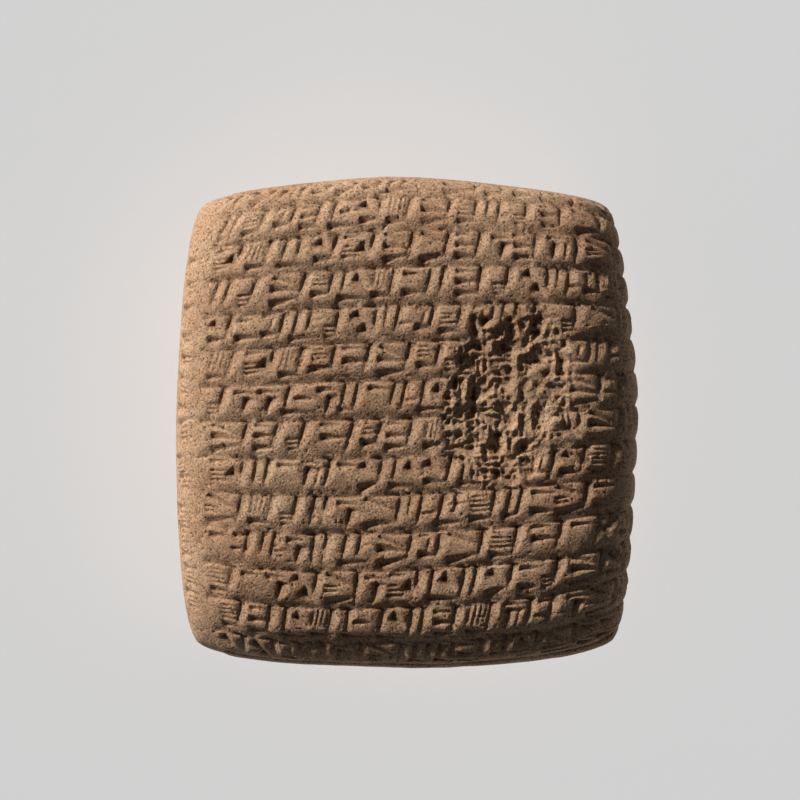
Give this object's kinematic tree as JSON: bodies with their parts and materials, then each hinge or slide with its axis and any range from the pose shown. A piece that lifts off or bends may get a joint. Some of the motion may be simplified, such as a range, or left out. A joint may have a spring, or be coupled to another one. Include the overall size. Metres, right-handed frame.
{
  "type": "cuneiform tablet",
  "caption": "Small square pillow-shaped clay tablet, pressed all over with rows of wedge strokes, with a crumbled hollow in its written face.",
  "frame": {"origin": "on the surface it lies on, under the middle of its outline", "axes": "+X along the rows to the right, +Y up the written face to its top edge, +Z out of the written face"},
  "size_m": [0.048, 0.051, 0.0179],
  "materials": {
    "clay": "dry matt clay, sandy, light brown"
  },
  "bodies": {
    "root": {"tablet": "clay"}
  },
  "joints": []
}
